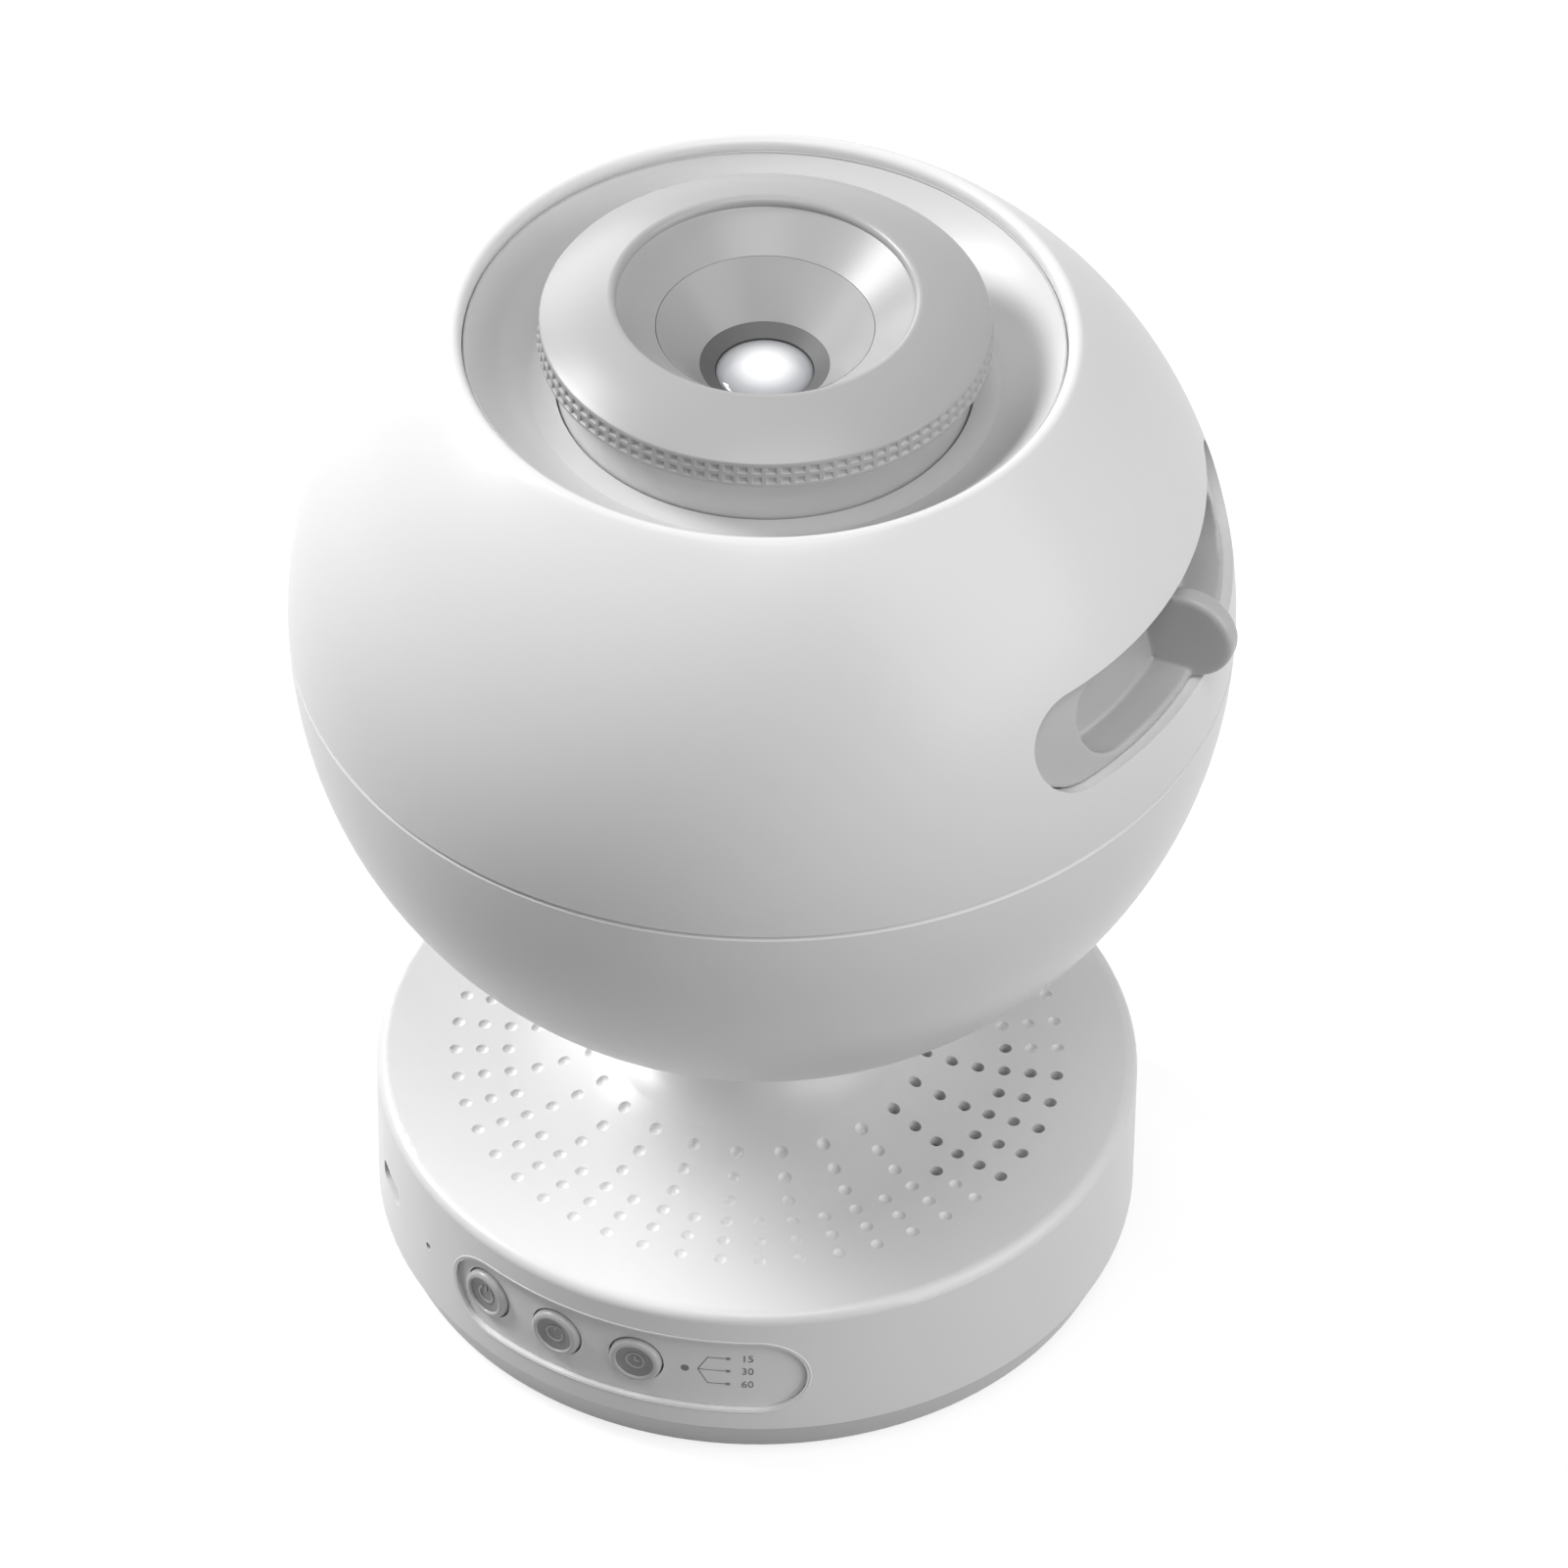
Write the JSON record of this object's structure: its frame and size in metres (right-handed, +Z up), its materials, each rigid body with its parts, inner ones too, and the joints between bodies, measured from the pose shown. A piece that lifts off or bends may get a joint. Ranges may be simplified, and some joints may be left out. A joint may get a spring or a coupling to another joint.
{
  "type": "planetarium projector",
  "caption": "Ball-shaped star projector that tilts and swivels on a round base, with a film drawer in its side and a focus ring round a light funnel on top.",
  "frame": {"origin": "centre of the rubber pad's underside, on the table", "axes": "+Z up through the base and the ball, -Y towards the buttons, +X towards the film drawer"},
  "size_m": [0.1582, 0.154, 0.1988],
  "materials": {
    "white_shell": "glossy white moulded shell",
    "white_base": "satin white moulded housing",
    "cover": "light grey bottom cover",
    "pad": "matt rubber",
    "panel": "satin light grey",
    "button": "satin mid grey",
    "dish": "glossy light grey",
    "focus": "satin light grey",
    "sleeve": "satin mid grey",
    "black": "matt black",
    "drawer": "satin mid grey",
    "glass": "coated clear glass",
    "film": "glossy dark film",
    "gear": "natural moulded gear plastic",
    "steel": "plain steel",
    "stem": "satin white",
    "sink": "raw aluminium",
    "board": "green circuit board",
    "chips": "black electronic parts",
    "battery": "plain shrink sleeve",
    "paper": "treated paper cone",
    "light": "milky light guide"
  },
  "bodies": {
    "base": {"base_housing": "white_base", "base_bottom": "cover", "base_pad": "pad", "base_screws": "steel", "control_panel": "panel", "button_flex": "board", "button_switches": "chips", "timer_light": "light", "charge_light": "light", "charge_socket": "steel", "charge_board": "board", "main_board": "board", "board_parts": "chips", "battery": "battery", "speaker_frame": "black", "speaker_cone": "paper", "speaker_magnet": "steel", "swivel_bush": "gear"},
    "yoke": {"yoke": "black", "swivel_stem": "stem", "swivel_washer": "gear", "swivel_clip": "steel", "tilt_pins": "steel", "tilt_washers": "gear"},
    "head": {"ball_upper_shell": "white_shell", "ball_lower_shell": "white_shell", "shell_screws": "steel", "dish_insert": "dish", "focus_spring": "steel", "chassis": "black", "tray_rails": "black", "lens_mount": "black", "frame_screws": "steel", "lamp_housing": "black", "condenser_lens": "glass", "led_board": "board", "led_emitter": "light", "heat_sink": "sink", "disc_motor": "steel"},
    "focus": {"focus_ring": "focus", "focus_sleeve": "sleeve"},
    "lens": {"lens_barrel": "focus", "cam_pins": "steel", "lens_retainer": "black", "front_lens": "glass", "rear_lens": "glass"},
    "tray": {"tray_front": "drawer", "film_tray": "black", "tray_screws": "steel"},
    "disc": {"disc_gear": "gear", "film_disc": "film", "disc_clip": "gear"},
    "pinion": {"drive_pinion": "gear", "motor_shaft": "steel"},
    "power": {"power_button": "button"},
    "rotation": {"rotation_button": "button"},
    "timer": {"timer_button": "button"}
  },
  "joints": [
    {"name": "head_swivel", "type": "hinge", "parent": "base", "child": "yoke", "pos_m": [0, 0, 0.05], "axis": [0, 0, 1], "range_deg": [-170, 170]},
    {"name": "head_tilt", "type": "hinge", "parent": "yoke", "child": "head", "pos_m": [0, 0, 0.1325], "axis": [-1, 0, 0], "range_deg": [0, 45]},
    {"name": "focus_turn", "type": "hinge", "parent": "head", "child": "focus", "pos_m": [0, 0, 0.1325], "axis": [0, 0, 1], "range_deg": [-60, 60]},
    {"name": "lens_slide", "type": "slide", "parent": "head", "child": "lens", "axis": [0, 0, 1], "range_m": [-0.0021, 0.0021]},
    {"name": "tray_slide", "type": "slide", "parent": "head", "child": "tray", "axis": [1, 0, 0], "range_m": [0, 0.088]},
    {"name": "disc_spin", "type": "hinge", "parent": "tray", "child": "disc", "pos_m": [0, 0, 0.15], "axis": [0, 0, 1], "continuous": true},
    {"name": "pinion_spin", "type": "hinge", "parent": "head", "child": "pinion", "pos_m": [-0.036, 0, 0.15], "axis": [0, 0, 1], "continuous": true},
    {"name": "power_press", "type": "slide", "parent": "base", "child": "power", "axis": [0.3907, 0.9205, 0], "range_m": [0, 0.0005], "stiffness_N_per_m": 800, "springref_m": -0.001},
    {"name": "rotation_press", "type": "slide", "parent": "base", "child": "rotation", "axis": [0.1693, 0.9856, 0], "range_m": [0, 0.0005], "stiffness_N_per_m": 800, "springref_m": -0.001},
    {"name": "timer_press", "type": "slide", "parent": "base", "child": "timer", "axis": [-0.061, 0.9981, 0], "range_m": [0, 0.0005], "stiffness_N_per_m": 800, "springref_m": -0.001}
  ],
  "couplings": [
    {"joint": "lens_slide", "follows": "focus_turn", "m_per_rad": -0.0019099},
    {"joint": "pinion_spin", "follows": "disc_spin", "ratio": -7}
  ]
}
